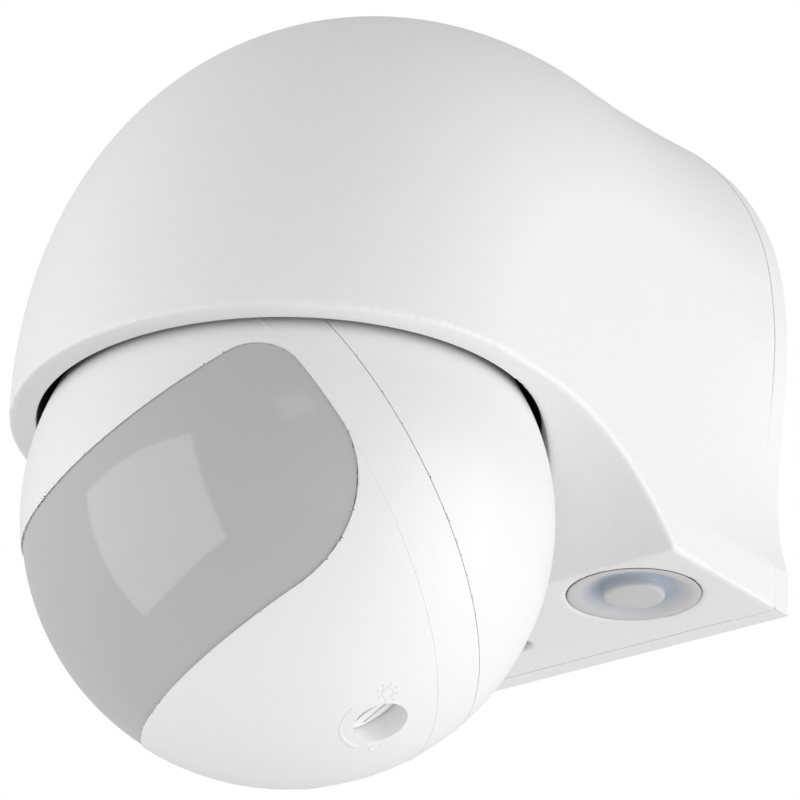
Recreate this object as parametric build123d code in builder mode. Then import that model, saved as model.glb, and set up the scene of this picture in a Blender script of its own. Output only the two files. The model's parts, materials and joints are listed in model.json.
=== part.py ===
from build123d import *
from math import cos, radians, sin
import os

os.makedirs("parts", exist_ok=True)

# Frame: origin on the wall face, X to the right, front towards -Y, +Z up.
base_z = -40.0            # underside of the housing
half_w = 37.0             # half width of the housing at its underside
plate_t = 3.4             # wall plate thickness
wall_t = 2.2              # housing wall thickness
arch_r = 39.3             # arch of the housing at the wall
arch_z = base_z + 47.2
foot_x = 37.2             # half width at the wall, at the underside
heel_x = 37.45            # half width where the straight lower edge ends
heel_z = base_z + 6.3
waist_x = 36.45           # narrowest half width at the wall
waist_z = base_z + 17.0

rim_z = base_z + 13.8     # visor rim plane
elbow_y = -31.5           # axis about which the hood bends forward and down
elbow_r = 34.0
cut_y = -59.0             # rounded cut below the hood
cut_z = base_z - 25.5
cut_r = rim_z - cut_z

ball_r = 35.0
ball_t = 2.0
ball_y = -65.4
ball_z = base_z + 0.9
socket_r = 36.0
dome_r = 38.2
head_pan = radians(-40.7)
head_tilt = radians(33.4)
seam_y = 5.6              # front and rear shells meet behind the ball centre

stem_r = 6.0
bore_r = 6.05
boss_r = 12.0
boss_top = base_z + 47.0
hole_x = 28.0             # wall screw holes
hole_z = 22.0
hole_r = 2.25
grommet_x = 23.9
grommet_y = -18.9
grommet_r = 9.3
membrane_r = 4.3          # thicker centre disc of the membrane
screw_y = -13.0
board_front = -12.0       # front face of the power board
board_spots = [(-20, base_z + 30), (20, base_z + 30), (-20, base_z + 66), (20, base_z + 66)]
rear_entry = (18.0, base_z + 11.0)
rear_entry_r = 5.5

trim_x = 11.4             # adjusters either side of the centreline
trim_y = -9.0
trim_hole_r = 3.5
knob_r = 3.25
knob_face = -30.2         # outer face of the knobs, level with the edge of their holes
slot_turn = 34.0          # resting angle of the knob slots

pan_dir = (cos(head_pan), sin(head_pan), 0)
tilt_dir = (sin(head_pan) * sin(head_tilt), -cos(head_pan) * sin(head_tilt), cos(head_tilt))
ball_at = (0, ball_y, ball_z)
yoke_plane = Plane(origin=ball_at, x_dir=pan_dir, z_dir=(0, 0, 1))
head_plane = Plane(origin=ball_at, x_dir=pan_dir, z_dir=tilt_dir)
head_side = Plane(origin=ball_at, x_dir=-head_plane.y_dir, z_dir=-head_plane.x_dir)
head_back = Plane(origin=ball_at, x_dir=pan_dir, z_dir=-head_plane.y_dir)


def upright_profile(t, flare):
    """Closed upright outline of the housing, inset by t, from the bend (flare 0) to the wall (flare 1)."""
    foot = (half_w + (foot_x - half_w) * flare - t, base_z + t)
    heel = (half_w + (heel_x - half_w) * flare - t, heel_z)
    waist = (half_w + (waist_x - half_w) * flare - t, waist_z)
    hip = (half_w + (38.0 - half_w) * flare - t, base_z + 29.9)
    top = rim_z + elbow_r + (arch_z - rim_z - elbow_r) * flare
    shoulder = (half_w + (arch_r - half_w) * flare - t, top)
    with BuildSketch() as outline:
        with BuildLine():
            Line(foot, heel)
            Spline(heel, waist, hip, shoulder)
            ThreePointArc(shoulder, (0, top + shoulder[0]), (-shoulder[0], top))
            Spline((-shoulder[0], top), (-hip[0], hip[1]), (-waist[0], waist[1]), (-heel[0], heel[1]))
            Line((-heel[0], heel[1]), (-foot[0], foot[1]))
            Line((-foot[0], foot[1]), foot)
        make_face()
    return outline.sketch


def wall_profile(t):
    """Closed outline of the housing at the wall, inset by t."""
    return upright_profile(t, 1.0)


def hood_volume(t):
    """Filled volume of the hood, inset by t."""
    w = half_w - t
    with BuildPart(mode=Mode.PRIVATE) as volume:
        with BuildSketch(Plane.XY.offset(rim_z)):
            with Locations((0, elbow_y - elbow_r)):
                Circle(w)
            with Locations((0, elbow_y - elbow_r / 2)):
                Rectangle(2 * w, elbow_r)
            with Locations((0, elbow_y - 50)):
                Rectangle(100, 100, mode=Mode.INTERSECT)
        revolve(axis=Axis((0, elbow_y, rim_z), (-1, 0, 0)), revolution_arc=90)
        with Locations((0, (elbow_y + cut_y) / 2, (base_z + t + rim_z) / 2)):
            Box(2 * w, elbow_y - cut_y, rim_z - base_z - t)
        for depth, flare in ((-elbow_y, 0.0), (24.5, 0.1), (17.5, 0.31), (10.5, 0.61), (plate_t, 1.0)):
            with BuildSketch(Plane.XZ.offset(depth)):
                add(upright_profile(t, flare))
        loft()
        with Locations((0, cut_y, cut_z)):
            Cylinder(cut_r + t, 100, rotation=(0, 90, 0), mode=Mode.SUBTRACT)
    return volume.part


def hood_cavity():
    """Inside of the hood, kept clear of the ball socket and of the screw and bearing bosses."""
    with BuildPart(mode=Mode.PRIVATE) as cavity:
        add(hood_volume(wall_t))
        with Locations((0, -plate_t + 1, base_z + 44)):
            Box(90, 2, 100, mode=Mode.SUBTRACT)
        with Locations(ball_at):
            Sphere(dome_r, mode=Mode.SUBTRACT)
        with Locations((0, ball_y, (ball_z + boss_top) / 2)):
            Cylinder(boss_r, boss_top - ball_z, mode=Mode.SUBTRACT)
        with Locations((0, screw_y, base_z + 2.75)):
            Cylinder(4.0, 5.5, mode=Mode.SUBTRACT)
    return cavity.part


def window_profile(grow):
    """Side view of the lens opening in the head, x forward, grown all round."""
    back = 1.1 - grow
    top = 14.8 + grow
    low = -15.0 - grow
    with BuildSketch() as outline:
        with BuildLine():
            Polyline((40, top), (back + 6, top))
            Line((back, top - 6), (back, low + 14))
            Polyline((back + 14, low), (40, low), (40, top))
            RadiusArc((back, top - 6), (back + 6, top), 6)
            RadiusArc((back + 14, low), (back, low + 14), 14)
        make_face()
    return outline.sketch


def window_band(outer, inner, grow):
    """Part of a ball-centred shell that lies inside the lens opening."""
    with BuildPart(mode=Mode.PRIVATE) as band:
        with BuildSketch(head_side):
            add(window_profile(grow))
        extrude(amount=50, both=True)
        with Locations(head_plane):
            Sphere(outer, mode=Mode.INTERSECT)
            if inner > 0:
                Sphere(inner, mode=Mode.SUBTRACT)
    return band.part


def adjuster_spots():
    """Positions of the two adjusters across the bottom of the head."""
    return [(-trim_x, trim_y), (trim_x, trim_y)]


head_screw_spots = [(-16.5, 25.3), (16.5, 25.3), (0, -30.2)]


def make_wall_plate():
    with BuildPart() as wall_plate:
        with BuildSketch(Plane.XZ):
            add(wall_profile(0))
        extrude(amount=plate_t)
        with BuildSketch(Plane.XZ.offset(plate_t)):
            add(wall_profile(wall_t + 0.25))
            add(wall_profile(wall_t + 2.0), mode=Mode.SUBTRACT)
        extrude(amount=3)
        with BuildSketch(Plane.XZ.offset(plate_t)):
            with Locations(*board_spots):
                Circle(3)
        extrude(amount=7)
        with Locations((0, -plate_t - 7, base_z + 9)):
            Box(12, 14, 6.4)
        with Locations((-14, -plate_t - 2.3, base_z + 19), (6, -plate_t - 2.3, base_z + 19)):
            Box(8, 4.6, 8)
        with BuildSketch(Plane.XZ.offset(plate_t + 7)):
            with Locations(*board_spots):
                Circle(1.2)
        extrude(amount=-6, mode=Mode.SUBTRACT)
        with BuildSketch(Plane.XZ):
            with Locations((-hole_x, -hole_z), (hole_x, -hole_z), (-hole_x, hole_z), (hole_x, hole_z)):
                Circle(hole_r)
            with Locations(rear_entry):
                Circle(rear_entry_r)
        extrude(amount=plate_t, mode=Mode.SUBTRACT)
        with Locations((0, screw_y, base_z + 9)):
            Cylinder(1.25, 20, mode=Mode.SUBTRACT)
        add(gasket_ring(), mode=Mode.SUBTRACT)
    wall_plate.part.label = "wall_plate"
    export_step(wall_plate.part, "parts/wall_plate.step")


def gasket_ring():
    """Flat seal seated in a groove of the wall plate, under the rear edge of the hood."""
    with BuildPart(mode=Mode.PRIVATE) as ring:
        with BuildSketch(Plane.XZ.offset(plate_t - 0.8)):
            add(wall_profile(0.5))
            add(wall_profile(1.8), mode=Mode.SUBTRACT)
        extrude(amount=0.8)
    return ring.part


def make_gasket():
    with BuildPart() as gasket:
        add(gasket_ring())
    gasket.part.label = "gasket"
    export_step(gasket.part, "parts/gasket.step")


def make_hood_cover():
    with BuildPart() as hood_cover:
        add(hood_volume(0))
        add(hood_cavity(), mode=Mode.SUBTRACT)
        with Locations(ball_at):
            Sphere(socket_r, mode=Mode.SUBTRACT)
        with Locations((0, ball_y, ball_z + 45)):
            Cylinder(9.0, 20, mode=Mode.SUBTRACT)
        with Locations((-grommet_x, grommet_y, base_z), (grommet_x, grommet_y, base_z)):
            Cylinder(grommet_r, 10, mode=Mode.SUBTRACT)
        with Locations((0, screw_y, base_z + 1.75)):
            Cylinder(2.43, 3.5, mode=Mode.SUBTRACT)
        with Locations((0, screw_y, base_z + 4)):
            Cylinder(1.4, 6, mode=Mode.SUBTRACT)
        with Locations((0, -plate_t - 0.15, base_z + 0.25)):
            Box(60.4, 0.3, 0.5, mode=Mode.SUBTRACT)
    hood_cover.part.label = "hood_cover"
    export_step(hood_cover.part, "parts/hood_cover.step")


def make_grommet(name, x):
    with BuildPart() as grommet:
        with Locations((x, grommet_y, base_z + 1.95)):
            Cylinder(grommet_r, 3.7)
        with Locations((x, grommet_y, base_z + 3.0)):
            Cylinder(grommet_r + 1.0, 1.6)
        with Locations((x, grommet_y - grommet_r - 3, base_z + 3.2)):
            Box(30, 8, 2.0, mode=Mode.SUBTRACT)
        with Locations((x, grommet_y, base_z + 0.8)):
            Cylinder(7.8, 1.4, mode=Mode.SUBTRACT)
        with Locations((x, grommet_y, base_z + 0.55)):
            Cylinder(membrane_r, 1.9)
    grommet.part.label = name
    export_step(grommet.part, "parts/" + name + ".step")


def make_cover_screw():
    with BuildPart() as cover_screw:
        with Locations((0, screw_y, base_z + 2.5)):
            Cylinder(2.3, 2.0)
        with Locations((0, screw_y, base_z + 7.0)):
            Cylinder(1.25, 7.0)
        with Locations((0, screw_y, base_z + 1.9)):
            Box(3.0, 0.7, 0.8, mode=Mode.SUBTRACT)
            Box(0.7, 3.0, 0.8, mode=Mode.SUBTRACT)
    cover_screw.part.label = "cover_screw"
    export_step(cover_screw.part, "parts/cover_screw.step")


pole_x = (-19, -9, 1, 11)


def make_terminal_block():
    with BuildPart() as terminal_block:
        with Locations((-4, -14.5, base_z + 19)):
            Box(42, 13, 11)
        with Locations(*[(x, -17, base_z + 19) for x in pole_x]):
            Cylinder(2.0, 8.0, rotation=(90, 0, 0), mode=Mode.SUBTRACT)
        with Locations(*[(x, -11, base_z + 15) for x in pole_x]):
            Cylinder(1.7, 8.0, mode=Mode.SUBTRACT)
    terminal_block.part.label = "terminal_block"
    export_step(terminal_block.part, "parts/terminal_block.step")


def make_terminal_screws():
    with BuildPart() as terminal_screws:
        with Locations(*[(x, -16.5, base_z + 19) for x in pole_x]):
            Cylinder(2.0, 7.0, rotation=(90, 0, 0))
        with Locations(*[(x, -20, base_z + 19) for x in pole_x]):
            Box(3.0, 1.4, 0.7, mode=Mode.SUBTRACT)
    terminal_screws.part.label = "terminal_screws"
    export_step(terminal_screws.part, "parts/terminal_screws.step")


def make_power_board():
    with BuildPart() as power_board:
        with Locations((0, board_front + 0.8, base_z + 48)):
            Box(48, 1.6, 44)
        with Locations(*[(x, board_front, z) for x, z in board_spots]):
            Cylinder(1.4, 10, rotation=(90, 0, 0), mode=Mode.SUBTRACT)
        with Locations(*[(x, board_front, base_z + 27.5) for x in pole_x]):
            Cylinder(0.6, 10, rotation=(90, 0, 0), mode=Mode.SUBTRACT)
    power_board.part.label = "power_board"
    export_step(power_board.part, "parts/power_board.step")


def make_board_screws():
    with BuildPart() as board_screws:
        with Locations(*[(x, board_front - 0.9, z) for x, z in board_spots]):
            Cylinder(2.4, 1.8, rotation=(90, 0, 0))
        with Locations(*[(x, board_front + 3.0, z) for x, z in board_spots]):
            Cylinder(1.2, 6.0, rotation=(90, 0, 0))
        with Locations(*[(x, board_front - 1.5, z) for x, z in board_spots]):
            Box(3.0, 0.8, 0.6, mode=Mode.SUBTRACT)
            Box(0.6, 0.8, 3.0, mode=Mode.SUBTRACT)
    board_screws.part.label = "board_screws"
    export_step(board_screws.part, "parts/board_screws.step")


def make_relay():
    with BuildPart() as relay:
        with Locations((-13, board_front - 7.8, base_z + 47)):
            Box(12.6, 15.6, 26)
        fillet(relay.faces().sort_by(Axis.Y)[0].edges(), 1.0)
    relay.part.label = "relay"
    export_step(relay.part, "parts/relay.step")


def make_film_capacitor():
    with BuildPart() as film_capacitor:
        with Locations((6, board_front - 6, base_z + 39)):
            Box(17, 12, 8)
        fillet(film_capacitor.faces().sort_by(Axis.Y)[0].edges(), 0.8)
    film_capacitor.part.label = "film_capacitor"
    export_step(film_capacitor.part, "parts/film_capacitor.step")


def make_smoothing_capacitor():
    with BuildPart() as smoothing_capacitor:
        with Locations((4, board_front - 8, base_z + 60)):
            Cylinder(5.0, 16, rotation=(90, 0, 0))
        fillet(smoothing_capacitor.edges().sort_by(Axis.Y)[0], 0.8)
    smoothing_capacitor.part.label = "smoothing_capacitor"
    export_step(smoothing_capacitor.part, "parts/smoothing_capacitor.step")


def make_varistor():
    with BuildPart() as varistor:
        with Locations((19, board_front - 6, base_z + 54)):
            Cylinder(5.0, 3.6, rotation=(0, 90, 0))
        with Locations((19, board_front - 0.6, base_z + 54)):
            Box(3.0, 1.2, 6.0)
    varistor.part.label = "varistor"
    export_step(varistor.part, "parts/varistor.step")


def make_fuse():
    with BuildPart() as fuse:
        with Locations((9.0, board_front - 3.2, base_z + 48.5)):
            Cylinder(2.6, 14, rotation=(0, 90, 0))
            Box(3.0, 6.4, 3.0)
    fuse.part.label = "fuse"
    export_step(fuse.part, "parts/fuse.step")


def make_head_connector():
    with BuildPart() as head_connector:
        with Locations((-8, board_front - 3.5, base_z + 66)):
            Box(12, 7, 5.8)
        with Locations((-8, board_front - 5.5, base_z + 66)):
            Box(10.4, 5, 4.2, mode=Mode.SUBTRACT)
    head_connector.part.label = "head_connector"
    export_step(head_connector.part, "parts/head_connector.step")


def make_swivel_bushing():
    with BuildPart() as swivel_bushing:
        with Locations((0, ball_y, boss_top - 4.5)):
            Cylinder(9.0, 9.0)
        with Locations((0, ball_y, boss_top + 0.75)):
            Cylinder(boss_r, 1.5)
        with Locations((0, ball_y, boss_top)):
            Cylinder(bore_r, 30, mode=Mode.SUBTRACT)
    swivel_bushing.part.label = "swivel_bushing"
    export_step(swivel_bushing.part, "parts/swivel_bushing.step")


def make_wave_washer():
    with BuildPart() as wave_washer:
        with Locations((0, ball_y, boss_top + 1.8)):
            Cylinder(9.5, 0.6)
            Cylinder(6.4, 5, mode=Mode.SUBTRACT)
    wave_washer.part.label = "wave_washer"
    export_step(wave_washer.part, "parts/wave_washer.step")


ring_z = boss_top - ball_z + 2.9    # retaining ring above the ball centre


def make_retaining_ring():
    with BuildPart(yoke_plane) as retaining_ring:
        with Locations((0, 0, ring_z)):
            Cylinder(9.0, 1.2)
            Cylinder(5.3, 5, mode=Mode.SUBTRACT)
        with Locations((0, 8, ring_z)):
            Box(3, 8, 5, mode=Mode.SUBTRACT)
    retaining_ring.part.label = "retaining_ring"
    export_step(retaining_ring.part, "parts/retaining_ring.step")


def make_swivel_yoke():
    with BuildPart(yoke_plane) as swivel_yoke:
        with Locations((0, 0, (ring_z + 18) / 2)):
            Cylinder(stem_r, ring_z - 14)
        with Locations((0, 0, 15)):
            Box(52, 8, 4)
        with Locations((-26.5, 0, 5.5), (26.5, 0, 5.5)):
            Box(2.6, 8, 12)
        with Locations((-26, 0, 13), (26, 0, 13)):
            Box(1.4, 8, 4)
        with Locations((-26.5, 0, 0), (26.5, 0, 0)):
            Cylinder(4.6, 2.6, rotation=(0, 90, 0))
            Cylinder(2.2, 9, rotation=(0, 90, 0), mode=Mode.SUBTRACT)
        with Locations((0, 0, 30)):
            Cylinder(3.6, 90, mode=Mode.SUBTRACT)
        with Locations((0, 0, ring_z)):
            Cylinder(stem_r + 1, 1.2, mode=Mode.SUBTRACT)
            Cylinder(5.3, 1.2)
            Cylinder(3.6, 1.2, mode=Mode.SUBTRACT)
    swivel_yoke.part.label = "swivel_yoke"
    export_step(swivel_yoke.part, "parts/swivel_yoke.step")


def make_tilt_pins():
    with BuildPart(yoke_plane) as tilt_pins:
        with Locations((-24.7, 0, 0), (24.7, 0, 0)):
            Cylinder(2.2, 6.2, rotation=(0, 90, 0))
    tilt_pins.part.label = "tilt_pins"
    export_step(tilt_pins.part, "parts/tilt_pins.step")


def front_shell_body():
    """Front shell of the head with its bosses, before the lens opening is cut."""
    with BuildPart(head_plane, mode=Mode.PRIVATE) as shell:
        Sphere(ball_r)
        Sphere(ball_r - ball_t, mode=Mode.SUBTRACT)
        with Locations(*[(x, y, z) for (x, z), y in zip(head_screw_spots, (2, 2, 4))]):
            Cylinder(3.3, 14, rotation=(90, 0, 0))
        with Locations(*[(x, y, -30) for x, y in adjuster_spots()]):
            Cylinder(trim_hole_r + 0.9, 9.6)
        Sphere(ball_r, mode=Mode.INTERSECT)
        with Locations(*[(x, y, z) for (x, z), y in zip(head_screw_spots, (0, 0, 3.5))]):
            Cylinder(1.2, 12, rotation=(90, 0, 0), mode=Mode.SUBTRACT)
        with Locations(*[(x, y, -30) for x, y in adjuster_spots()]):
            Cylinder(trim_hole_r, 40, mode=Mode.SUBTRACT)
        with Locations((0, seam_y + 30, 0)):
            Box(80, 60, 80, mode=Mode.SUBTRACT)
    return shell.part


def make_head_front_shell():
    with BuildPart() as head_front_shell:
        add(front_shell_body())
        add(window_band(ball_r + 1, ball_r - ball_t - 1, 0), mode=Mode.SUBTRACT)
    head_front_shell.part.label = "head_front_shell"
    export_step(head_front_shell.part, "parts/head_front_shell.step")


def make_fresnel_lens():
    with BuildPart() as fresnel_lens:
        add(window_band(ball_r - 0.2, ball_r - 3.0, -0.15))
        add(window_band(ball_r - ball_t, ball_r - 3.0, 1.4))
        add(window_band(ball_r - 1.5, 0, -1.3), mode=Mode.SUBTRACT)
    fresnel_lens.part.label = "fresnel_lens"
    export_step(fresnel_lens.part, "parts/fresnel_lens.step")


def make_head_rear_shell():
    with BuildPart(head_plane) as head_rear_shell:
        Sphere(ball_r)
        Sphere(ball_r - ball_t, mode=Mode.SUBTRACT)
        with Locations(*[(x, 14, z) for x, z in head_screw_spots]):
            Cylinder(3.3, 16.8, rotation=(90, 0, 0))
        Sphere(ball_r, mode=Mode.INTERSECT)
        with Locations((0, seam_y - 30, 0)):
            Box(80, 60, 80, mode=Mode.SUBTRACT)
        with Locations(*[(x, 20, z) for x, z in head_screw_spots]):
            Cylinder(2.3, 22, rotation=(90, 0, 0), mode=Mode.SUBTRACT)
            Cylinder(1.3, 60, rotation=(90, 0, 0), mode=Mode.SUBTRACT)
        with BuildSketch(head_side):
            with BuildLine():
                Polyline((0, 0), (-11.5, 50), (-50, 50), (-50, -0.5), close=True)
            make_face()
        extrude(amount=6.7, both=True, mode=Mode.SUBTRACT)
    head_rear_shell.part.label = "head_rear_shell"
    export_step(head_rear_shell.part, "parts/head_rear_shell.step")


def make_head_screws():
    with BuildPart(head_plane) as head_screws:
        with Locations(*[(x, 9.9, z) for x, z in head_screw_spots]):
            Cylinder(2.2, 1.8, rotation=(90, 0, 0))
        with Locations(*[(x, 3.5, z) for x, z in head_screw_spots]):
            Cylinder(1.2, 11.0, rotation=(90, 0, 0))
        with Locations(*[(x, 10.6, z) for x, z in head_screw_spots]):
            Box(3.0, 0.8, 0.6, mode=Mode.SUBTRACT)
            Box(0.6, 0.8, 3.0, mode=Mode.SUBTRACT)
    head_screws.part.label = "head_screws"
    export_step(head_screws.part, "parts/head_screws.step")


def make_head_frame():
    with BuildPart(head_plane) as head_frame:
        with Locations((0, -6, -2.4)):
            Box(46, 2, 32.8)
        with Locations((-23.4, 0, 0), (23.4, 0, 0)):
            Box(2.4, 14, 9)
        with Locations((-15, -6, 19), (15, -6, 19)):
            Box(7, 2, 12)
        with Locations((-18, -8, -11), (18, -8, -11), (-18, -8, 11), (18, -8, 11)):
            Cylinder(2.0, 2.0, rotation=(90, 0, 0))
        with Locations(*[(x, -6, z) for x, z in head_screw_spots[0:2]]):
            Cylinder(3.3, 2, rotation=(90, 0, 0))
            Cylinder(1.2, 9, rotation=(90, 0, 0), mode=Mode.SUBTRACT)
        Cylinder(2.25, 90, rotation=(0, 90, 0), mode=Mode.SUBTRACT)
        Sphere(31.9, mode=Mode.INTERSECT)
    head_frame.part.label = "head_frame"
    export_step(head_frame.part, "parts/head_frame.step")


def make_sensor_board():
    with BuildPart(head_plane) as sensor_board:
        with Locations((0, -9.8, 0)):
            Box(43, 1.6, 28)
        with Locations((-2.5, -9, 1), (2.5, -9, 1), (0, -9, -2.5)):
            Cylinder(0.4, 8, rotation=(90, 0, 0), mode=Mode.SUBTRACT)
    sensor_board.part.label = "sensor_board"
    export_step(sensor_board.part, "parts/sensor_board.step")


def make_infrared_sensor():
    with BuildPart(head_plane) as infrared_sensor:
        with Locations((0, -10.9, 0)):
            Cylinder(4.8, 0.6, rotation=(90, 0, 0))
        with Locations((0, -13.0, 0)):
            Cylinder(4.1, 3.6, rotation=(90, 0, 0))
        with Locations((0, -14.8, 0)):
            Box(4.0, 0.6, 3.0, mode=Mode.SUBTRACT)
        with Locations((-2.5, -9.8, 1), (2.5, -9.8, 1), (0, -9.8, -2.5)):
            Cylinder(0.4, 2.4, rotation=(90, 0, 0))
    infrared_sensor.part.label = "infrared_sensor"
    export_step(infrared_sensor.part, "parts/infrared_sensor.step")


def make_light_sensor():
    with BuildPart(head_plane) as light_sensor:
        with Locations((13, -11.6, -6)):
            Cylinder(2.5, 2.0, rotation=(90, 0, 0))
        with Locations((13, -12.6, -6)):
            Sphere(2.0)
    light_sensor.part.label = "light_sensor"
    export_step(light_sensor.part, "parts/light_sensor.step")


def make_status_lamp():
    with BuildPart(head_plane) as status_lamp:
        with Locations((-13, -12.1, -6)):
            Cylinder(1.5, 3.0, rotation=(90, 0, 0))
        with Locations((-13, -13.6, -6)):
            Sphere(1.5)
    status_lamp.part.label = "status_lamp"
    export_step(status_lamp.part, "parts/status_lamp.step")


def make_adjuster_board():
    with BuildPart(head_plane) as adjuster_board:
        with Locations((0, trim_y, -19.4)):
            Box(33, 15, 1.2)
    adjuster_board.part.label = "adjuster_board"
    export_step(adjuster_board.part, "parts/adjuster_board.step")


def make_adjuster_body(name, x):
    with BuildPart(head_plane) as body:
        with Locations((x, trim_y, -22.4)):
            Box(8.4, 8.4, 4.8)
        with Locations((x, trim_y, -24)):
            Cylinder(2.05, 6, mode=Mode.SUBTRACT)
    body.part.label = name
    export_step(body.part, "parts/" + name + ".step")


def make_knob(name, x):
    with BuildPart(head_plane) as knob:
        with Locations((x, trim_y, -24.0)):
            Cylinder(2.0, 4.0)
        with Locations((x, trim_y, (knob_face - 25.1) / 2)):
            Cylinder(knob_r, -25.1 - knob_face)
        with Locations(Location((x, trim_y, knob_face), (0, 0, slot_turn))):
            Box(4.6, 0.9, 2.4, mode=Mode.SUBTRACT)
    knob.part.label = name
    export_step(knob.part, "parts/" + name + ".step")


make_wall_plate()
make_gasket()
make_hood_cover()
make_grommet("cable_grommet", grommet_x)
make_grommet("blank_grommet", -grommet_x)
make_cover_screw()
make_terminal_block()
make_terminal_screws()
make_power_board()
make_board_screws()
make_relay()
make_film_capacitor()
make_smoothing_capacitor()
make_varistor()
make_fuse()
make_head_connector()
make_swivel_bushing()
make_wave_washer()
make_retaining_ring()
make_swivel_yoke()
make_tilt_pins()
make_head_front_shell()
make_head_rear_shell()
make_fresnel_lens()
make_head_screws()
make_head_frame()
make_sensor_board()
make_infrared_sensor()
make_light_sensor()
make_status_lamp()
make_adjuster_board()
make_adjuster_body("lux_adjuster", trim_x)
make_adjuster_body("time_adjuster", -trim_x)
make_knob("lux_knob", trim_x)
make_knob("time_knob", -trim_x)
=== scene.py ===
import json
from math import cos, pi, radians, sin, sqrt

import bmesh
import bpy
import numpy as np
from mathutils import Matrix, Vector
from mathutils.bvhtree import BVHTree


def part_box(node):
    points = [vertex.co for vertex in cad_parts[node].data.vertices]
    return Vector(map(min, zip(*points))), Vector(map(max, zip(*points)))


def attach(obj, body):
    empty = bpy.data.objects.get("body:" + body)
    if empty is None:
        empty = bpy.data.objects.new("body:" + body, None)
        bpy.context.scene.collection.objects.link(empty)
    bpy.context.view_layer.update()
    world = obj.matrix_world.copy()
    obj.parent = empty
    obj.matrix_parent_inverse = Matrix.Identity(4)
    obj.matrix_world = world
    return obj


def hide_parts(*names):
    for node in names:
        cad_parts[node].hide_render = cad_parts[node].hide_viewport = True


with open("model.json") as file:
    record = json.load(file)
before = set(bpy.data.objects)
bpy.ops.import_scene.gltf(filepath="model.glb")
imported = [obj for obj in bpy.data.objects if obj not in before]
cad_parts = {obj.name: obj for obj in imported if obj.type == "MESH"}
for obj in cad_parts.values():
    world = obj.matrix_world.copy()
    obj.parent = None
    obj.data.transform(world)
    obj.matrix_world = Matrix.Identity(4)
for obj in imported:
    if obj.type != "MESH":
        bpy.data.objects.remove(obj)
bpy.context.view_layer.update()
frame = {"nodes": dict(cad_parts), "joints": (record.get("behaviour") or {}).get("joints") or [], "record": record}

MM = 0.001
NODES = frame["nodes"]

# Housing, in millimetres from the wall face and the centreline.
BASE_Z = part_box("hood_cover")[0][2] / MM      # underside
PLATE_T = -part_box("hood_cover")[1][1] / MM    # wall plate thickness
HALF_W = 37.0
RIM_Z = BASE_Z + 13.8                         # rim of the visor
ELBOW_Y = -31.5                               # axis and radius of the hood's bend
ELBOW_R = 34.0
CUT_Y = -59.0                                 # where the rounded cut under the hood starts
SOCKET_R = 36.0
GROMMET_X, GROMMET_Y, GROMMET_R = 23.9, -18.9, 9.3
LIP_W = 1.0                                   # hidden lip of a membrane, above the hood's floor

# Ball head: its centre in the frame above, then sizes in its own frame (x across, -y forward, z up).
joints = {j["name"]: j for j in frame["joints"]}
BALL = Vector(joints["head_tilt"]["pos_m"]) / MM
BALL_R = 35.0
X_HEAD = Vector(joints["head_tilt"]["axis"]).normalized()
Z_HEAD = -Vector(joints["lux_turn"]["axis"]).normalized()
Y_HEAD = Z_HEAD.cross(X_HEAD)
HEAD = Matrix((X_HEAD, Y_HEAD, Z_HEAD)).transposed().to_4x4()
HEAD.translation = BALL
SHELL_T = 2.0
SEAM_Y = 5.6                                  # seam between the front and rear shells
SHELL_GAP = 0.12                              # how far that seam stands open
CREASE_Y = -1.1                               # raised line round the front shell
ADJUSTER_X, ADJUSTER_Y, HOLE_R = 11.4, -9.0, 3.5
WINDOW_BACK, WINDOW_TOP, WINDOW_LOW = 1.1, 14.8, -15.0     # lens opening, in the side view
WINDOW_TOP_R, WINDOW_LOW_R = 6.0, 14.0        # its corner radii
LENS_DEPTH = 0.2                              # how far the lens lies below the ball's surface

VOXEL = 0.3            # grid of the head's skins
HOOD_VOXEL = VOXEL * 1.3
HOOD_ROUNDS, HEAD_ROUNDS = 3, 2               # smoothing rounds of the skins
SHARP_ANGLE = radians(50)
MERGE = 1e-5                                  # points closer than this are one


# ---------------------------------------------------------------- mesh helpers
def new_object(name, verts, faces, matrix=None):
    """Object from points and faces, with equal points merged and faces turned outwards."""
    mesh = bpy.data.meshes.new(name)
    mesh.from_pydata([tuple(v) for v in verts], [], faces)
    mesh.update()
    bm = bmesh.new()
    bm.from_mesh(mesh)
    bmesh.ops.remove_doubles(bm, verts=bm.verts, dist=MERGE)
    bmesh.ops.recalc_face_normals(bm, faces=bm.faces)
    bm.to_mesh(mesh)
    bm.free()
    if matrix is not None:
        mesh.transform(matrix)
    obj = bpy.data.objects.new(name, mesh)
    bpy.context.scene.collection.objects.link(obj)
    return obj


def tube_of_rings(name, rings, matrix=None):
    """Closed solid through a list of equal-length rings of points, capped at both ends."""
    n = len(rings[0])
    verts = [p for ring in rings for p in ring]
    faces = []
    for i in range(len(rings) - 1):
        for k in range(n):
            a, b = i * n + k, i * n + (k + 1) % n
            faces.append((a, b, b + n, a + n))
    faces.append(tuple(range(n)))
    faces.append(tuple(range((len(rings) - 1) * n, len(rings) * n)))
    return new_object(name, verts, faces, matrix)


def several_tubes(name, tubes, matrix=None):
    """One object from several closed ring tubes."""
    bm = bmesh.new()
    for rings in tubes:
        part = tube_of_rings("tube", rings, matrix)
        bm.from_mesh(part.data)
        bpy.data.objects.remove(part)
    mesh = bpy.data.meshes.new(name)
    bm.to_mesh(mesh)
    bm.free()
    mesh.transform(Matrix.Scale(MM, 4))
    mesh.polygons.foreach_set("use_smooth", np.ones(len(mesh.polygons), bool))
    obj = bpy.data.objects.new(name, mesh)
    bpy.context.scene.collection.objects.link(obj)
    return obj


def apply_modifiers(obj):
    deps = bpy.context.evaluated_depsgraph_get()
    mesh = bpy.data.meshes.new_from_object(obj.evaluated_get(deps), depsgraph=deps)
    obj.modifiers.clear()
    old = obj.data
    obj.data = mesh
    bpy.data.meshes.remove(old)


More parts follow.
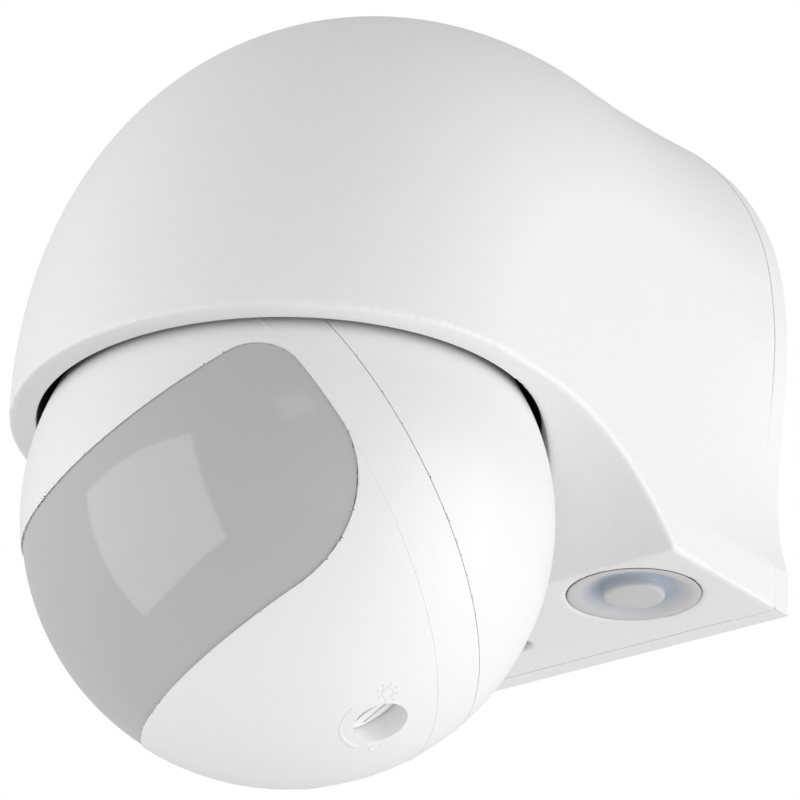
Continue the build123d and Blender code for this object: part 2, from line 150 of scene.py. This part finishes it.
def skin_of(name, node, voxel, rounds, settle):
    """Moulded skin over a CAD node: an even mesh with softly rounded edges, settled on the true surface."""
    source = NODES[node].data.copy()
    obj = bpy.data.objects.new(name, source)
    bpy.context.scene.collection.objects.link(obj)
    obj.data.transform(Matrix.Scale(1 / MM, 4))
    mod = obj.modifiers.new("skin", "REMESH")
    mod.mode = "VOXEL"
    mod.voxel_size = voxel
    smooth = obj.modifiers.new("smooth", "SMOOTH")
    smooth.factor = 0.5
    smooth.iterations = rounds
    apply_modifiers(obj)
    mesh = obj.data
    co = np.empty(len(mesh.vertices) * 3)
    mesh.vertices.foreach_get("co", co)
    co = co.reshape(-1, 3)
    settle(co)
    mesh.vertices.foreach_set("co", (co * MM).ravel())
    mesh.polygons.foreach_set("use_smooth", np.ones(len(mesh.polygons), bool))
    mesh.set_sharp_from_angle(angle=SHARP_ANGLE)
    mesh.update()
    return obj


def settle_ball(co, centre, radius, within=0.05):
    """Moves points that lie almost on a sphere exactly onto it."""
    d = co - np.array(centre)
    r = np.linalg.norm(d, axis=1)
    near = np.abs(r - radius) < within
    co[near] = np.array(centre) + d[near] * (radius / r[near])[:, None]


def cad_surface(node):
    """Search tree over a CAD node's surface, in millimetres."""
    mesh = NODES[node].data
    verts = [v.co / MM for v in mesh.vertices]
    return BVHTree.FromPolygons(verts, [tuple(p.vertices) for p in mesh.polygons])


def settle_rear_edge(co, reach=0.7, level=0.9, rim=0.3, lap=0.03, skin=0.4):
    """Squares the hood's rear edge up against the wall plate, so that the joint closes.

    Points within reach of the plate take the outline that the hood has at the given level in front of it,
    where they belong to its outer skin, and those of the rim lap the plate.
    """
    tree = cad_surface("hood_cover")
    for i in np.nonzero(co[:, 1] > -PLATE_T - reach)[0]:
        at = Vector((co[i, 0], -PLATE_T - level, co[i, 2]))
        away = tree.find_nearest(at)[0] - at
        if co[i, 1] > -PLATE_T - rim:
            co[i, 1] = -PLATE_T + lap
        if away.length < skin:
            co[i, 0] += away.x
            co[i, 2] += away.z


def settle_socket_edge(co, within=0.42):
    """Trues up the circle where the ball socket meets the flat rim of the visor."""
    d = co - np.array(BALL)
    r = np.linalg.norm(d, axis=1)
    level = RIM_Z - BALL.z
    circle = sqrt(SOCKET_R ** 2 - level ** 2)
    near = (np.abs(d[:, 2] - level) < within) & (np.abs(r - SOCKET_R) < within) & (co[:, 1] < CUT_Y - 2)
    flat = np.hypot(d[near, 0], d[near, 1])
    co[near, 0] = BALL.x + d[near, 0] * circle / flat
    co[near, 1] = BALL.y + d[near, 1] * circle / flat
    co[near, 2] = RIM_Z


def settle_hood(co, within=0.06):
    """Settles the hood's rear edge, its socket and its bend on their true shapes."""
    settle_rear_edge(co)
    settle_socket_edge(co)
    settle_ball(co, BALL, SOCKET_R)
    y, z = co[:, 1] - ELBOW_Y, co[:, 2] - RIM_Z
    bend = (y <= 0.2) & (z >= 0.6)
    reach = np.hypot(y, z)
    away = reach - ELBOW_R
    r = np.hypot(co[:, 0], away)
    near = bend & (away > 0) & (np.abs(r - HALF_W) < within)
    scale = HALF_W / r[near]
    new_reach = ELBOW_R + away[near] * scale
    co[near, 0] *= scale
    co[near, 1] = ELBOW_Y + y[near] * new_reach / reach[near]
    co[near, 2] = RIM_Z + z[near] * new_reach / reach[near]


def finish_piece(obj, body, material, slot, *nodes):
    """Gives a piece its material and body, and hides the CAD nodes that it replaces; the slot argument is not
    used.
    """
    obj.data.materials.clear()
    obj.data.materials.append(material)
    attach(obj, body)
    if nodes:
        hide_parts(*nodes)
    return obj


# ---------------------------------------------------------------- housing and head skins
def make_hood(material):
    hood = skin_of("hood", "hood_cover", HOOD_VOXEL, HOOD_ROUNDS, settle_hood)
    return finish_piece(hood, "housing", material, "white", "hood_cover")


def settle_seam(co, side, reach=0.42, skin=0.3, edge_depth=0.2):
    """Squares the shell's edge at the seam; side is -1 in front of it and 1 behind."""
    d = co - np.array(BALL)
    depth = (d @ np.array(Y_HEAD) - SEAM_Y) * side
    r = np.linalg.norm(d, axis=1)
    corner = (depth < reach) & (r > BALL_R - skin)
    co[corner] = np.array(BALL) + d[corner] * (BALL_R / r[corner])[:, None]
    d = co - np.array(BALL)
    depth = (d @ np.array(Y_HEAD) - SEAM_Y) * side
    edge = depth < edge_depth
    co[edge] += np.outer((SHELL_GAP / 2 - depth[edge]) * side, np.array(Y_HEAD))


def window_reach(ahead, up):
    """Depth inside the lens opening and the way out of it, in the side view of the head."""
    depths = np.stack([ahead - WINDOW_BACK, WINDOW_TOP - up, up - WINDOW_LOW])
    inside = depths.min(axis=0)
    out = np.array([(-1.0, 0.0), (0.0, 1.0), (0.0, -1.0)])[depths.argmin(axis=0)]
    corners = ((WINDOW_TOP_R, WINDOW_TOP - WINDOW_TOP_R, 1),
               (WINDOW_LOW_R, WINDOW_LOW + WINDOW_LOW_R, -1))
    for radius, level, way in corners:
        da, du = ahead - WINDOW_BACK - radius, up - level
        here = (da < 0) & (du * way > 0)
        reach = np.maximum(np.hypot(da, du), 1e-6)
        inside[here] = radius - reach[here]
        out[here] = (np.stack([da, du], axis=1) / reach[:, None])[here]
    return inside, out


def in_head(co):
    """Points in the head's own frame."""
    return (co - np.array(BALL)) @ np.array((X_HEAD, Y_HEAD, Z_HEAD)).T


def from_head(local):
    return np.array(BALL) + local @ np.array((X_HEAD, Y_HEAD, Z_HEAD))


def shift_in_window(co, chosen, out, push, radius, thick=0.3, near_middle=8):
    """Moves points across the edge of the lens opening; those of the outer skin stay on the given sphere.

    A skin point returns to the sphere sideways, or straight out where it is near the head's middle plane.
    """
    local = in_head(co[chosen])
    skin = np.linalg.norm(local, axis=1) > radius - thick
    local[:, 1] -= push[chosen] * out[chosen, 0]
    local[:, 2] += push[chosen] * out[chosen, 1]
    left = radius ** 2 - local[:, 1] ** 2 - local[:, 2] ** 2
    steep = skin & (left > near_middle ** 2)
    local[steep, 0] = np.sign(local[steep, 0]) * np.sqrt(left[steep])
    flat = skin & (left <= near_middle ** 2)
    local[flat] *= (radius / np.linalg.norm(local[flat], axis=1))[:, None]
    co[chosen] = from_head(local)


def settle_adjuster_hole(co, x, within=0.27, skin_t=0.3, underside=-25):
    """Trues up the round edge of an adjuster hole in the ball."""
    local = in_head(co)
    dx, dy = local[:, 0] - x, local[:, 1] - ADJUSTER_Y
    reach = np.hypot(dx, dy)
    chosen = (np.abs(reach - HOLE_R) < within) & (local[:, 2] < underside)
    skin = chosen & (np.linalg.norm(local, axis=1) > BALL_R - skin_t)
    scale = HOLE_R / reach[chosen]
    local[chosen, 0] = x + dx[chosen] * scale
    local[chosen, 1] = ADJUSTER_Y + dy[chosen] * scale
    local[skin, 2] = -np.sqrt(BALL_R ** 2 - local[skin, 0] ** 2 - local[skin, 1] ** 2)
    co[chosen] = from_head(local[chosen])


def settle_front_shell(co, outer_within=0.12, edge_from=-0.24, edge_to=0.3):
    """Settles the front shell's two spheres, its seam, the edge of the lens opening and the holes."""
    settle_ball(co, BALL, BALL_R, outer_within)
    settle_ball(co, BALL, BALL_R - SHELL_T)
    settle_seam(co, -1)
    local = in_head(co)
    inside, out = window_reach(-local[:, 1], local[:, 2])
    in_shell = np.linalg.norm(local, axis=1) > BALL_R - SHELL_T - 0.1
    edge = in_shell & (inside > edge_from) & (inside < edge_to)
    shift_in_window(co, edge, out, inside, BALL_R)
    for x in (-ADJUSTER_X, ADJUSTER_X):
        settle_adjuster_hole(co, x)


def settle_rear_shell(co):
    """Settles the rear shell's two spheres and its seam."""
    settle_ball(co, BALL, BALL_R)
    settle_ball(co, BALL, BALL_R - SHELL_T)
    settle_seam(co, 1)


def settle_lens(co, reach=0.7, upper_push=0.45, lower_push=0.30, rim_t=1.6):
    """Lets the lens fill its opening, by pushing its rim out, a little less along the lower edge."""
    settle_ball(co, BALL, BALL_R - LENS_DEPTH)
    local = in_head(co)
    inside, out = window_reach(-local[:, 1], local[:, 2])
    rim = (np.linalg.norm(local, axis=1) > BALL_R - rim_t) & (inside < reach)
    upper = local[:, 2] > WINDOW_LOW + WINDOW_LOW_R
    push = np.where(upper, upper_push, lower_push) * (1 - inside / reach)
    shift_in_window(co, rim, out, push, BALL_R - LENS_DEPTH)


def make_shell(name, node, settle, material):
    piece = skin_of(name, node, VOXEL, HEAD_ROUNDS, settle)
    return finish_piece(piece, "head", material, "head_white", node)


def make_lens(material):
    lens = skin_of("lens", "fresnel_lens", VOXEL, HEAD_ROUNDS, settle_lens)
    return finish_piece(lens, "head", material, "lens", "fresnel_lens")


# ---------------------------------------------------------------- raised marks on the head
# Section of a ridge: across in half widths, and up in heights, or below the ball's surface in millimetres.
RIDGE = ((-1.0, -0.15), (-0.95, 0.0), (-0.6, 0.75), (0.0, 1.0), (0.6, 0.75), (0.95, 0.0), (1.0, -0.15))
THIN_LINE = 0.2
ARC_R, ARC_START, ARC_STOP = 5.05, 214, 318   # scale arc round an adjuster, in degrees
SUN_X, SUN_Y, SUN_R = 5.15, 1.0, 0.72
SUN_RAY = (1.05, 1.25, 1.45)                  # points along a ray, from the sun's centre
MOON_X, MOON_Y, MOON_R = -4.9, -0.4, 0.8
SUN_TURN, MOON_START, MOON_STOP = 340, 75, 285
SUN_RAYS, RAY_START = 8, 22
ARC_THIN, ARC_SWELL, MOON_SWELL = 0.12, 0.75, 0.5
ARC_STEPS, MARK_STEPS = 40, 24


def raised_line(path, widths, height=0.07):
    """Rings of a low rounded ridge along points of the ball; path holds directions in the head's frame."""
    rings = []
    n = len(path)
    for i, point in enumerate(path):
        here = Vector(point).normalized()
        ahead = Vector(path[min(i + 1, n - 1)]).normalized() - Vector(path[max(i - 1, 0)]).normalized()
        side = here.cross(ahead).normalized()
        half = widths[i] / 2
        ring = []
        for across, lift in RIDGE:
            p = (here * BALL_R + side * across * half).normalized()
            ring.append(p * (BALL_R + lift * height if lift > 0 else BALL_R + lift))
        rings.append(ring)
    return rings


def below(x, y):
    """Direction of the ball's underside point at (x, y) in the head's frame."""
    return (x, y, -sqrt(BALL_R ** 2 - x * x - y * y))


def arc_points(cx, cy, radius, start, stop, count):
    angles = [radians(start + (stop - start) * k / count) for k in range(count + 1)]
    return [(cx + radius * cos(a), cy + radius * sin(a)) for a in angles]


def line_on_ball(points, width):
    return raised_line([below(x, y) for x, y in points], [width] * len(points))


def make_adjuster_marks(name, x, y, mirror, material):
    """Swelling scale arc beside an adjuster, with a sun at its thin end and a moon at its thick end."""
    tubes = []
    arc = arc_points(0, 0, ARC_R, ARC_START, ARC_STOP, ARC_STEPS)
    widths = [ARC_THIN + ARC_SWELL * (1 - k / ARC_STEPS) for k in range(ARC_STEPS + 1)]
    tubes.append(raised_line([below(x + mirror * u, y + v) for u, v in arc], widths))
    disc = arc_points(SUN_X, SUN_Y, SUN_R, 0, SUN_TURN, MARK_STEPS)
    sun = [(x + mirror * u, y + v) for u, v in disc]
    tubes.append(line_on_ball(sun, THIN_LINE))
    for k in range(SUN_RAYS):
        a = radians(360 // SUN_RAYS * k + RAY_START)
        ray = [(x + mirror * (SUN_X + r * cos(a)), y + SUN_Y + r * sin(a)) for r in SUN_RAY]
        tubes.append(line_on_ball(ray, THIN_LINE))
    crescent = arc_points(MOON_X, MOON_Y, MOON_R, MOON_START, MOON_STOP, MARK_STEPS)
    moon = [(x + mirror * u, y + v) for u, v in crescent]
    swell = [ARC_THIN + MOON_SWELL * sin(pi * k / MARK_STEPS) for k in range(MARK_STEPS + 1)]
    tubes.append(raised_line([below(u, v) for u, v in moon], swell))
    marks = several_tubes(name, tubes, HEAD)
    return finish_piece(marks, "head", material, "head_white")


def make_head_bead(material, width=0.22, height=0.05, steps=160):
    """Fine raised line round the ball, ahead of the seam, broken by the lens."""
    tubes = []
    r = sqrt(BALL_R ** 2 - CREASE_Y ** 2)
    for start, stop in ((18, 162), (184, 356)):
        angles = [radians(start + (stop - start) * k / steps) for k in range(steps + 1)]
        path = [(r * cos(a), CREASE_Y, r * sin(a)) for a in angles]
        tubes.append(raised_line(path, [width] * len(path), height))
    bead = several_tubes("head_bead", tubes, HEAD)
    return finish_piece(bead, "head", material, "head_white")


# ---------------------------------------------------------------- painted shadow along the parting line of the wall plate
# Stretches of the painted hairline shadow: from x to x, its y and its width.
PARTING = ((-30.2, 30.2, -PLATE_T, 0.11), (30.6, 36.4, -PLATE_T + 0.3, 0.05),
           (-36.4, -30.6, -PLATE_T + 0.3, 0.05))


def make_painted_parting_shadow(material, steps=40, sunk=0.2, proud=0.012):
    """Painted hairline shadow of the joint between hood and wall plate along the underside, as a thin grey strip.
    """
    tubes = []
    top, face = BASE_Z + sunk, BASE_Z - proud
    for start, stop, y, width in PARTING:
        rings = []
        for k in range(steps + 1):
            x = start + (stop - start) * k / steps
            front, back = y - width / 2, y + width / 2
            rings.append([(x, front, top), (x, front, face), (x, back, face), (x, back, top)])
        tubes.append(rings)
    line = several_tubes("painted_parting_shadow", tubes)
    return finish_piece(line, "housing", material, "white")


# ---------------------------------------------------------------- cable membranes
# Section of a membrane from the middle outwards: radius, and height above the underside.
CENTRE_DISC = ((0, -0.38), (2.0, -0.38), (3.7, -0.36), (4.1, -0.28), (4.26, -0.05), (4.3, 0.5), (4.36, 1.05))
DISHED_RING = ((4.7, 1.25), (5.4, 1.22), (6.2, 0.98), (7.0, 0.62), (7.6, 0.34), (8.05, 0.16))
OUTER_LIP = ((8.5, 0.10), (8.95, 0.10), (9.25, 0.14))


def make_grommet(name, x, material, node, n=128):
    """Soft membrane seal: flat outer lip, dished ring and a raised centre disc, with a collar inside."""
    radius = (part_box(node)[1][1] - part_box(node)[0][1]) / MM / 2 - LIP_W
    collar = ((radius + 0.15, 0.25), (radius, 2.2), (radius, 3.6), (radius - 0.3, 3.8), (4.8, 3.8), (0, 3.8))
    turns = [2 * pi * k / n for k in range(n)]
    rings = [[(x + r * cos(a), GROMMET_Y + r * sin(a), BASE_Z + h) for a in turns]
             for r, h in CENTRE_DISC + DISHED_RING + OUTER_LIP + collar]
    seal = several_tubes(name, [rings])
    return finish_piece(seal, "housing", material, "seal_grey", node)


# ---------------------------------------------------------------- materials
BLOTCH_SCALE, BLOTCH_DETAIL, GRAIN_DETAIL = 40.0, 4.0, 3.0
GRAIN_DEPTH = 0.0002                          # metres, at full strength
ROUGH_LOW, ROUGH_HIGH = 0.88, 1.12            # spread of the roughness about its mean


def material(name, color, rough, bump=0.0, scale=900.0, mottle=0.02, **inputs):
    """Moulded or machined surface: fine grain in the bump, a little variation in colour and gloss."""
    mat = bpy.data.materials.new(name)
    mat.use_nodes = True
    nodes, links = mat.node_tree.nodes, mat.node_tree.links
    shader = nodes["Principled BSDF"]
    for key, value in inputs.items():
        shader.inputs[key.replace("_", " ")].default_value = value
    coord = nodes.new("ShaderNodeTexCoord")
    broad = nodes.new("ShaderNodeTexNoise")
    broad.inputs["Scale"].default_value = BLOTCH_SCALE
    broad.inputs["Detail"].default_value = BLOTCH_DETAIL
    links.new(coord.outputs["Object"], broad.inputs["Vector"])
    tint = nodes.new("ShaderNodeMix")
    tint.data_type = "RGBA"
    tint.inputs["A"].default_value = (*[c * (1 - mottle) for c in color], 1)
    tint.inputs["B"].default_value = (*[min(1, c * (1 + mottle)) for c in color], 1)
    links.new(broad.outputs["Fac"], tint.inputs["Factor"])
    links.new(tint.outputs["Result"], shader.inputs["Base Color"])
    fine = nodes.new("ShaderNodeTexNoise")
    fine.inputs["Scale"].default_value = scale
    fine.inputs["Detail"].default_value = GRAIN_DETAIL
    links.new(coord.outputs["Object"], fine.inputs["Vector"])
    span = nodes.new("ShaderNodeMapRange")
    span.inputs["To Min"].default_value = rough * ROUGH_LOW
    span.inputs["To Max"].default_value = min(1, rough * ROUGH_HIGH)
    links.new(fine.outputs["Fac"], span.inputs["Value"])
    links.new(span.outputs["Result"], shader.inputs["Roughness"])
    if bump:
        relief = nodes.new("ShaderNodeBump")
        relief.inputs["Strength"].default_value = bump
        relief.inputs["Distance"].default_value = GRAIN_DEPTH
        links.new(fine.outputs["Fac"], relief.inputs["Height"])
        links.new(relief.outputs["Normal"], shader.inputs["Normal"])
    return mat


def membrane_material():
    """Milky rubber, warmer at its outer lip; its dished ring is bluer, a tint of the thin rubber, and darker by
    painted shade in that recess.
    """
    mat = material("membrane", (0.60, 0.63, 0.67), 0.38, 0.12, 700.0, 0.02,
                   Subsurface_Weight=0.15, Subsurface_Scale=0.002)
    nodes, links = mat.node_tree.nodes, mat.node_tree.links
    coord = nodes.new("ShaderNodeTexCoord")
    axis = nodes.new("ShaderNodeVectorMath")
    axis.operation = "ABSOLUTE"
    links.new(coord.outputs["Object"], axis.inputs[0])
    offset = nodes.new("ShaderNodeVectorMath")
    offset.operation = "SUBTRACT"
    offset.inputs[1].default_value = (GROMMET_X * MM, -GROMMET_Y * MM, 0)
    links.new(axis.outputs["Vector"], offset.inputs[0])
    flat = nodes.new("ShaderNodeVectorMath")
    flat.operation = "MULTIPLY"
    flat.inputs[1].default_value = (1, 1, 0)
    links.new(offset.outputs["Vector"], flat.inputs[0])
    reach = nodes.new("ShaderNodeVectorMath")
    reach.operation = "LENGTH"
    links.new(flat.outputs["Vector"], reach.inputs[0])
    span = nodes.new("ShaderNodeMapRange")
    span.inputs["From Max"].default_value = GROMMET_R * MM
    links.new(reach.outputs["Value"], span.inputs["Value"])
    ramp = nodes.new("ShaderNodeValToRGB")
    # radial colour stops; the band from 0.47 to 0.68 is the rubber's bluish tint plus painted shade in the dished
    # ring
    stops = ((0.0, (0.62, 0.61, 0.61)), (0.45, (0.58, 0.58, 0.59)), (0.47, (0.40, 0.45, 0.53)),
             (0.60, (0.43, 0.48, 0.57)), (0.68, (0.51, 0.54, 0.61)), (0.80, (0.61, 0.60, 0.61)),
             (1.0, (0.63, 0.59, 0.58)))
    ramp.color_ramp.elements[0].position = stops[0][0]
    ramp.color_ramp.elements[0].color = (*stops[0][1], 1)
    ramp.color_ramp.elements[1].position = stops[-1][0]
    ramp.color_ramp.elements[1].color = (*stops[-1][1], 1)
    for place, color in stops[1:-1]:
        stop = ramp.color_ramp.elements.new(place)
        stop.color = (*color, 1)
    links.new(span.outputs["Result"], ramp.inputs["Fac"])
    links.new(ramp.outputs["Color"], nodes["Principled BSDF"].inputs["Base Color"])
    return mat


def paint_socket_shade(mat):
    """Painted shade inside the ball socket, just behind its edge: near-black base colour placed by distance from
    the ball's centre.
    """
    nodes, links = mat.node_tree.nodes, mat.node_tree.links
    shader = nodes["Principled BSDF"]
    coord = nodes.new("ShaderNodeTexCoord")
    reach = nodes.new("ShaderNodeVectorMath")
    reach.operation = "DISTANCE"
    reach.inputs[1].default_value = BALL * MM
    links.new(coord.outputs["Object"], reach.inputs[0])
    # edge of the painted socket shade, by distance from the ball's centre
    socket_shade_edge = nodes.new("ShaderNodeMapRange")
    socket_shade_edge.inputs["From Min"].default_value = (SOCKET_R + 0.05) * MM
    socket_shade_edge.inputs["From Max"].default_value = (SOCKET_R + 0.25) * MM
    links.new(reach.outputs["Value"], socket_shade_edge.inputs["Value"])
    split = nodes.new("ShaderNodeSeparateXYZ")
    links.new(coord.outputs["Object"], split.inputs["Vector"])
    height = nodes.new("ShaderNodeMapRange")
    height.inputs["From Min"].default_value = (RIM_Z + 0.15) * MM
    height.inputs["From Max"].default_value = (RIM_Z + 0.6) * MM
    height.inputs["To Min"].default_value = 1.0
    height.inputs["To Max"].default_value = 0.0
    links.new(split.outputs["Z"], height.inputs["Value"])
    skin = nodes.new("ShaderNodeMath")        # 1 on the outer skin and the rim, 0 inside the socket
    skin.operation = "MAXIMUM"
    links.new(socket_shade_edge.outputs["Result"], skin.inputs[0])
    links.new(height.outputs["Result"], skin.inputs[1])
    blend = nodes.new("ShaderNodeMix")
    blend.data_type = "RGBA"
    colour = shader.inputs["Base Color"].links[0].from_socket
    # near-black painted shade inside the socket, blended with the hood's white outside it
    blend.inputs["A"].default_value = (0.02, 0.02, 0.02, 1)
    links.new(skin.outputs["Value"], blend.inputs["Factor"])
    links.new(colour, blend.inputs["B"])
    links.new(blend.outputs["Result"], shader.inputs["Base Color"])
    return mat


def paint(node, mat):
    """Gives every slot of a CAD node that finish, without touching its mesh."""
    mesh = NODES[node].data
    if not mesh.materials:
        mesh.materials.append(mat)
    for i in range(len(mesh.materials)):
        NODES[node].material_slots[i].link = "OBJECT"
        NODES[node].material_slots[i].material = mat


def housing_finish(name):
    return material(name, (0.833, 0.832, 0.832), 0.42, 0.25, 1400.0, 0.01, Specular_IOR_Level=0.45)


housing_white = housing_finish("housing_white")
head_white = material("head_white", (0.845, 0.843, 0.843), 0.36, 0.18, 1400.0, 0.01, Specular_IOR_Level=0.5)
lens_grey = material("lens_grey", (0.485, 0.48, 0.48), 0.08, 0.03, 500.0, 0.015, Specular_IOR_Level=1.0)
# hood plastic, with painted shade inside the ball socket
hood_white_socket_shade = paint_socket_shade(housing_finish("hood_white_socket_shade"))

# Finish of each material slot of the CAD: colour, roughness, grain depth, grain scale, unevenness of the
# colour, and any further inputs of the shader.
FINISHES = {
    "seal_dark": ((0.03, 0.03, 0.032), 0.85, 0.5, 1500.0, 0.1, {}),
    "inner_plastic": ((0.05, 0.052, 0.055), 0.5, 0.25, 1200.0, 0.06, {}),
    "bush_plastic": ((0.66, 0.64, 0.57), 0.4, 0.15, 900.0, 0.03, {}),
    "board": ((0.02, 0.16, 0.06), 0.35, 0.2, 1800.0, 0.12, {}),
    "terminal": ((0.16, 0.18, 0.2), 0.45, 0.2, 1000.0, 0.05, {}),
    "steel": ((0.58, 0.57, 0.55), 0.3, 0.3, 1600.0, 0.05, {"Metallic": 1.0}),
    "relay_case": ((0.01, 0.03, 0.10), 0.25, 0.08, 800.0, 0.05, {}),
    "film_case": ((0.62, 0.42, 0.04), 0.3, 0.08, 800.0, 0.05, {}),
    "can": ((0.66, 0.67, 0.69), 0.25, 0.2, 1600.0, 0.04, {"Metallic": 1.0}),
    "ceramic": ((0.03, 0.12, 0.38), 0.3, 0.1, 900.0, 0.06, {}),
    "glass": ((0.86, 0.9, 0.9), 0.05, 0.0, 600.0, 0.01, {"Transmission_Weight": 0.85}),
    "connector": ((0.72, 0.69, 0.6), 0.4, 0.15, 1000.0, 0.04, {}),
    "sensor_can": ((0.62, 0.62, 0.62), 0.22, 0.15, 1500.0, 0.03, {"Metallic": 1.0}),
    "clear_resin": ((0.8, 0.82, 0.84), 0.08, 0.0, 600.0, 0.01, {"Transmission_Weight": 0.8}),
    "red_resin": ((0.6, 0.02, 0.02), 0.1, 0.0, 600.0, 0.02, {"Transmission_Weight": 0.5}),
    "adjuster": ((0.03, 0.12, 0.42), 0.4, 0.2, 1000.0, 0.05, {}),
    "knob": ((0.86, 0.865, 0.86), 0.38, 0.15, 1200.0, 0.01, {}),
}
SLOT_FINISH = {"white": housing_white, "head_white": head_white, "lens": lens_grey}
for slot, (*look, extra) in FINISHES.items():
    SLOT_FINISH[slot] = material(slot, *look, **extra)
SLOT_FINISH["seal_grey"] = membrane_material()

make_hood(hood_white_socket_shade)
make_shell("front_shell", "head_front_shell", settle_front_shell, head_white)
make_shell("rear_shell", "head_rear_shell", settle_rear_shell, head_white)
make_lens(lens_grey)
make_painted_parting_shadow(material("parting_shadow", (0.42, 0.42, 0.42), 0.7, 0.1, 900.0, 0.02))
make_head_bead(head_white)
make_adjuster_marks("lux_marks", ADJUSTER_X, ADJUSTER_Y, 1, head_white)
make_adjuster_marks("time_marks", -ADJUSTER_X, ADJUSTER_Y, -1, head_white)
make_grommet("cable_membrane", GROMMET_X, SLOT_FINISH["seal_grey"], "cable_grommet")
make_grommet("blank_membrane", -GROMMET_X, SLOT_FINISH["seal_grey"], "blank_grommet")
for row in frame["record"]["subparts"]:
    paint(row["node"], SLOT_FINISH[row["material_slot"]])


# ---------------------------------------------------------------- stage, light, camera
AMBIENT = 0.596
FLOOR_Z, FLOOR_HALF = -1.6, 4.0
CAMERA_DISTANCE = 0.491
LIGHT_DISTANCE = 1.0


def area_light(name, direction, width, height, power):
    """Soft rectangular light that shines at the object from a direction."""
    data = bpy.data.lights.new(name, "AREA")
    data.shape = "RECTANGLE"
    data.size = width
    data.size_y = height
    data.energy = power
    obj = bpy.data.objects.new(name, data)
    obj.location = aim + Vector(direction).normalized() * LIGHT_DISTANCE
    obj.rotation_euler = (-Vector(direction)).to_track_quat("-Z", "Y").to_euler()
    bpy.context.scene.collection.objects.link(obj)
    return obj


def surround_light():
    """Even white surround: dim as a light, plain white where it is seen directly."""
    world = bpy.data.worlds.new("studio")
    world.use_nodes = True
    nodes, links = world.node_tree.nodes, world.node_tree.links
    sky = nodes["Background"]
    sky.inputs["Color"].default_value = (1, 1, 1, 1)
    path = nodes.new("ShaderNodeLightPath")
    level = nodes.new("ShaderNodeMapRange")
    level.inputs["To Min"].default_value = AMBIENT
    level.inputs["To Max"].default_value = 1.0
    links.new(path.outputs["Is Camera Ray"], level.inputs["Value"])
    links.new(level.outputs["Result"], sky.inputs["Strength"])
    return world


bpy.context.scene.world = surround_light()
bpy.context.scene.view_settings.view_transform = "Standard"

corners = [(x * FLOOR_HALF, y * FLOOR_HALF, FLOOR_Z) for x, y in ((-1, -1), (1, -1), (1, 1), (-1, 1))]
floor = new_object("floor", corners, [(0, 1, 2, 3)])
floor.data.materials.append(material("floor_paint", (0.85, 0.85, 0.85), 0.8))

aim = Vector((-1.16, -38.95, -10.93)) * MM
towards = Vector((0.5315, -0.7282, -0.4326))
cam_data = bpy.data.cameras.new("camera")
cam_data.lens = 157.5
cam_data.sensor_width = 36.0
cam_data.clip_start = 0.01
camera = bpy.data.objects.new("camera", cam_data)
camera.location = aim + towards * CAMERA_DISTANCE
camera.rotation_euler = (-towards).to_track_quat("-Z", "Y").to_euler()
bpy.context.scene.collection.objects.link(camera)
bpy.context.scene.camera = camera

area_light("key", (0.927, 0.342, -0.130), 0.9, 0.9, 4.8)
bounce = area_light("bounce", (0.466, 0.380, -0.761), 0.9, 0.9, 3.7)
bounce.visible_glossy = False
side_fill = area_light("side_fill", (-0.739, -0.650, -0.043), 0.9, 0.9, 2.9)
side_fill.visible_glossy = False
softbox = area_light("softbox", (-0.394, -0.892, -0.216), 1.03, 0.92, 2.9)
softbox.rotation_euler.rotate_axis("Z", radians(9))
small_window = area_light("small_window", (0.575, -0.706, 0.398), 0.22, 0.17, 0.05)
small_window.rotation_euler.rotate_axis("Z", radians(20))
